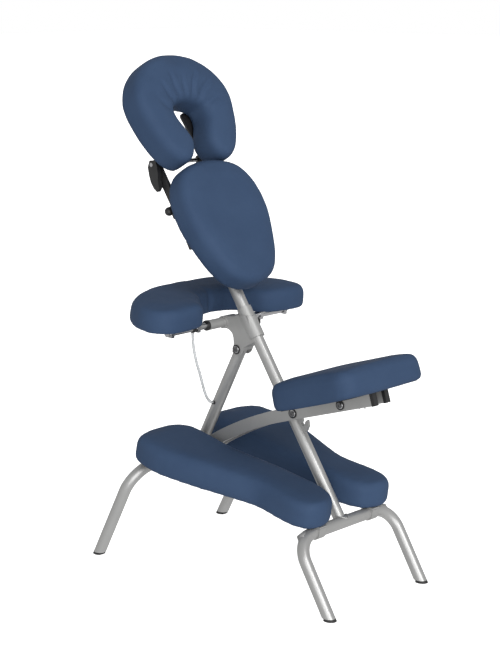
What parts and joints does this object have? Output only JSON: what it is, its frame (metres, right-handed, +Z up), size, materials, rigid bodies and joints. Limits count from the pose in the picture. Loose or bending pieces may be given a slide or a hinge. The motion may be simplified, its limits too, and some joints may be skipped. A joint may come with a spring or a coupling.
{
  "type": "kneeling massage chair",
  "caption": "Folding kneeling massage chair: tubular A-frame, sloping seat, two knee pads, chest pad on a sliding mast, crescent arm rest and tilting face rest.",
  "frame": {"origin": "on the floor under the middle of the bounding box", "axes": "+Z up, +Y the way the sitter faces, +X to the sitter's right"},
  "size_m": [0.514, 0.7479, 1.2126],
  "materials": {
    "aluminium_tube": "silver painted or anodised tube, satin",
    "cast_aluminium": "silver painted casting, satin",
    "bright_steel": "bright plated steel",
    "black_plastic": "black, matt",
    "rubber": "black rubber",
    "vinyl": "slate blue vinyl upholstery, soft sheen",
    "board": "plywood pad boards under a dark backing cloth",
    "cord": "clear over white cord"
  },
  "bodies": {
    "rear_frame": {"rear_leg_arch": "aluminium_tube", "rear_foot_plugs": "rubber", "spine_tube": "aluminium_tube", "hub_casting": "cast_aluminium", "stub_bushes": "black_plastic", "fold_bolt": "bright_steel", "fold_washers": "black_plastic", "seat_hook_plate": "aluminium_tube", "sleeve_collar": "cast_aluminium", "tether_ring": "black_plastic", "tether_cord": "cord"},
    "front_frame": {"front_leg_arch": "aluminium_tube", "front_foot_plugs": "rubber", "strut_tube": "aluminium_tube", "tether_eye": "black_plastic"},
    "seat": {"seat_beams": "aluminium_tube", "beam_caps": "black_plastic", "seat_bolts": "bright_steel", "seat_washers": "black_plastic", "hook_spacer": "bright_steel", "seat_board": "board", "seat_cushion": "vinyl", "accessory_hook": "bright_steel"},
    "knee_rest": {"knee_rails": "aluminium_tube", "knee_saddles": "cast_aluminium", "knee_boards": "board", "knee_cushion_left": "vinyl", "knee_cushion_right": "vinyl", "knee_screws": "bright_steel"},
    "mast": {"mast_tube": "aluminium_tube", "chest_bracket": "black_plastic", "chest_board": "board", "chest_cushion": "vinyl"},
    "mast_knob": {"mast_lock_knob": "black_plastic"},
    "cradle": {"cradle_yoke": "black_plastic", "tilt_rod": "bright_steel"},
    "cradle_knob": {"cradle_lock_knob": "black_plastic"},
    "lever": {"cam_lever": "black_plastic"},
    "face_rest": {"face_straps": "black_plastic", "face_rivets": "bright_steel", "face_board": "board", "face_cushion": "vinyl"},
    "arm_rest": {"arm_rod": "bright_steel", "arm_plates": "bright_steel", "arm_screws": "bright_steel", "arm_board": "board", "arm_cushion": "vinyl"}
  },
  "joints": [
    {"name": "front_fold", "type": "hinge", "parent": "rear_frame", "child": "front_frame", "pos_m": [0, 0.0774, 0.5253], "axis": [-1, 0, 0], "range_deg": [0, 58], "deforming": ["tether_cord"]},
    {"name": "seat_lift", "type": "hinge", "parent": "front_frame", "child": "seat", "pos_m": [0, 0.22557, 0.24306], "axis": [-1, 0, 0], "range_deg": [0, 8]},
    {"name": "knee_lift", "type": "hinge", "parent": "rear_frame", "child": "knee_rest", "pos_m": [0, -0.24674, 0.16541], "axis": [1, 0, 0], "range_deg": [0, 24]},
    {"name": "mast_height", "type": "slide", "parent": "rear_frame", "child": "mast", "axis": [0, 0.5548, 0.832], "range_m": [0, 0.08]},
    {"name": "mast_knob_turn", "type": "hinge", "parent": "rear_frame", "child": "mast_knob", "pos_m": [0.023, 0.04764, 0.59264], "axis": [1, 0, 0], "range_deg": [0, 180]},
    {"name": "cradle_height", "type": "slide", "parent": "mast", "child": "cradle", "axis": [0, 0.5548, 0.832], "range_m": [0, 0.06]},
    {"name": "cradle_knob_turn", "type": "hinge", "parent": "mast", "child": "cradle_knob", "pos_m": [-0.092, 0.21084, 0.85246], "axis": [1, 0, 0], "range_deg": [0, 180]},
    {"name": "face_tilt", "type": "hinge", "parent": "cradle", "child": "face_rest", "pos_m": [0, 0.2803, 0.9565], "axis": [-1, 0, 0], "range_deg": [0, 30]},
    {"name": "cam_release", "type": "hinge", "parent": "cradle", "child": "lever", "pos_m": [-0.09, 0.2803, 0.9565], "axis": [1, 0, 0], "range_deg": [0, 80]},
    {"name": "arm_tilt", "type": "hinge", "parent": "rear_frame", "child": "arm_rest", "pos_m": [0, 0.1209, 0.586], "axis": [1, 0, 0], "range_deg": [-55, 12]}
  ],
  "couplings": [
    {"joint": "knee_lift", "follows": "front_fold", "ratio": 0.4}
  ]
}
